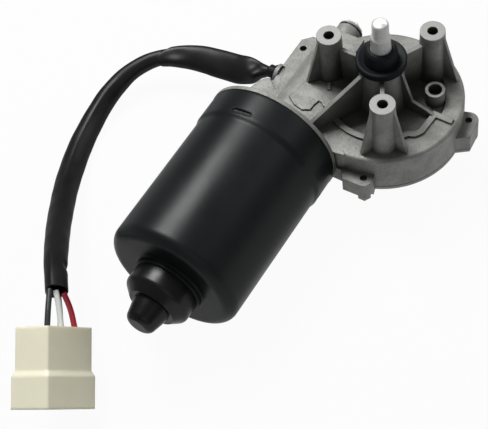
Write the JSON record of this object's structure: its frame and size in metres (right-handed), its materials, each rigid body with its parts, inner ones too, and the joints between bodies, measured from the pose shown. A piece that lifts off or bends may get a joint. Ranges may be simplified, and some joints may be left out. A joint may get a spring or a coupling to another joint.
{
  "type": "windscreen wiper motor",
  "caption": "Wiper motor: black drawn can, cast worm gearbox with ribbed tower and bosses, threaded output shaft, sleeved harness and a nylon connector.",
  "frame": {"origin": "on the output shaft's axis, in the plane of the three mounting-boss faces", "axes": "+Z along the output shaft, out of the gearbox; the armature's axis is parallel to Y and the can points to -Y; +X is away from the harness"},
  "size_m": [0.1913, 0.2623, 0.0948],
  "materials": {
    "casting": "as die-cast, fine grain, satin",
    "zinc_plate": "zinc plated",
    "gasket": "matt",
    "bronze": "sintered, oiled",
    "steel": "ground",
    "shaft_steel": "turned and plated",
    "seal_rubber": "matt",
    "laminate": "phenolic board",
    "brass": "stamped",
    "ferrite": "sintered, matt",
    "carbon": "pressed carbon",
    "can_paint": "satin black",
    "cap_plastic": "moulded, satin",
    "sleeve_pvc": "soft PVC",
    "grey_pvc": "wire insulation",
    "white_pvc": "wire insulation",
    "red_pvc": "wire insulation",
    "black_pvc": "wire insulation",
    "nylon": "natural nylon",
    "tinned_brass": "tinned",
    "lamination": "stacked sheet",
    "copper": "enamelled copper",
    "gear_plastic": "moulded acetal"
  },
  "bodies": {
    "housing": {"gear_housing": "casting", "gear_cover": "zinc_plate", "cover_gasket": "gasket", "cover_screws": "zinc_plate", "upper_shaft_bush": "bronze", "lower_shaft_bush": "bronze", "thrust_washer": "steel", "shaft_seal": "seal_rubber", "contact_plate": "laminate", "contact_fingers": "brass", "field_magnets": "ferrite", "brush_holder": "laminate", "carbon_brushes": "carbon", "brush_springs": "steel", "front_bush": "bronze", "worm_end_bush": "bronze", "rear_bush": "bronze", "bush_retainer": "steel", "thrust_ball": "steel", "thrust_screw": "steel", "thrust_lock_nut": "steel", "motor_can": "can_paint", "rear_bearing_cap": "cap_plastic", "harness_grommet": "seal_rubber", "harness_sleeve": "sleeve_pvc", "wire_grey": "grey_pvc", "wire_white": "white_pvc", "wire_red": "red_pvc", "wire_black": "black_pvc", "connector_housing": "nylon", "connector_tabs": "tinned_brass"},
    "armature": {"worm_shaft": "steel", "armature_core": "lamination", "armature_winding": "copper", "commutator": "copper"},
    "output": {"output_shaft": "shaft_steel", "worm_wheel": "gear_plastic", "park_contact_disc": "brass", "shaft_clip": "steel"}
  },
  "joints": [
    {"name": "armature_spin", "type": "hinge", "parent": "housing", "child": "armature", "pos_m": [-0.037, 0, -0.0368], "axis": [0, 1, 0], "continuous": true},
    {"name": "output_spin", "type": "hinge", "parent": "housing", "child": "output", "pos_m": [0, 0, 0], "axis": [0, 0, 1], "continuous": true}
  ],
  "couplings": [
    {"joint": "output_spin", "follows": "armature_spin", "ratio": 0.02}
  ]
}
